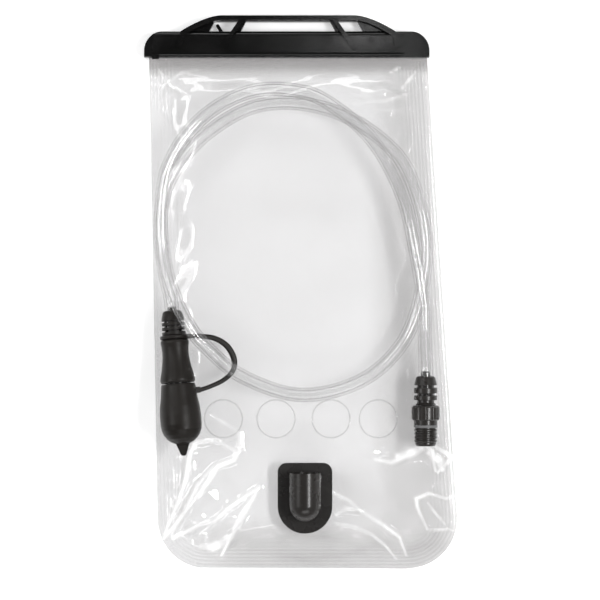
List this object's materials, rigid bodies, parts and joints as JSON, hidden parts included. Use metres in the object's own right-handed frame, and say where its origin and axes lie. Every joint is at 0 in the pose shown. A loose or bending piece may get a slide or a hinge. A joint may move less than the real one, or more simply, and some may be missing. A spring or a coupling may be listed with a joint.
{
  "type": "hydration bladder",
  "caption": "Clear film water reservoir with a slide-off top clip and hanging handle, a threaded outlet port, and a coiled drink tube with swivel coupling and capped bite valve.",
  "frame": {"origin": "on the flat back, midway along the whole length and in line with the handle's middle, with the bag lying on its back", "axes": "+X to the right seen from the front, +Y towards the hanging handle, +Z out of the front"},
  "size_m": [0.2085, 0.3685, 0.0391],
  "materials": {
    "clear_film": "clear glossy film",
    "clear_rail": "clear extruded plastic",
    "black_gloss": "glossy moulded plastic",
    "black_satin": "satin moulded plastic",
    "warm_black_rubber": "soft moulded rubber",
    "black_rubber": "seal rubber",
    "grey_rubber": "grey seal rubber",
    "clear_tube": "clear flexible tube",
    "smoke_silicone": "smoke grey silicone"
  },
  "bodies": {
    "reservoir": {"front_film": "clear_film", "back_film": "clear_film", "front_mouth_rail": "clear_rail", "back_mouth_rail": "clear_rail", "port_body": "black_satin"},
    "clip": {"slide_clip": "black_gloss"},
    "tube_set": {"drink_tube": "clear_tube", "barb_stem": "black_satin", "stem_o_ring": "black_rubber", "coupling_boot": "warm_black_rubber", "valve_boot": "warm_black_rubber", "valve_stem": "black_satin", "valve_grip": "warm_black_rubber", "slider_o_ring": "black_rubber", "cap_tether": "warm_black_rubber"},
    "coupling": {"threaded_coupling": "black_satin", "coupling_gasket": "grey_rubber"},
    "mouthpiece": {"valve_slider": "black_satin", "bite_valve": "smoke_silicone"},
    "cap": {"dust_cap": "warm_black_rubber"}
  },
  "joints": [
    {"name": "clip_slide", "type": "slide", "parent": "reservoir", "child": "clip", "axis": [-1, 0, 0], "range_m": [0, 0.195]},
    {"name": "tube_set_lift", "type": "slide", "parent": "reservoir", "child": "tube_set", "axis": [0, 0, 1], "range_m": [0, 0.12]},
    {"name": "coupling_swivel", "type": "hinge", "parent": "tube_set", "child": "coupling", "pos_m": [0.0911, -0.0522, 0.021], "axis": [0, 1, 0], "continuous": true},
    {"name": "valve_pull", "type": "slide", "parent": "tube_set", "child": "mouthpiece", "axis": [0.0838, -0.9941, 0.0686], "range_m": [0, 0.004]},
    {"name": "cap_pull", "type": "slide", "parent": "tube_set", "child": "cap", "axis": [0.0838, -0.9941, 0.0686], "range_m": [0, 0.045]}
  ]
}
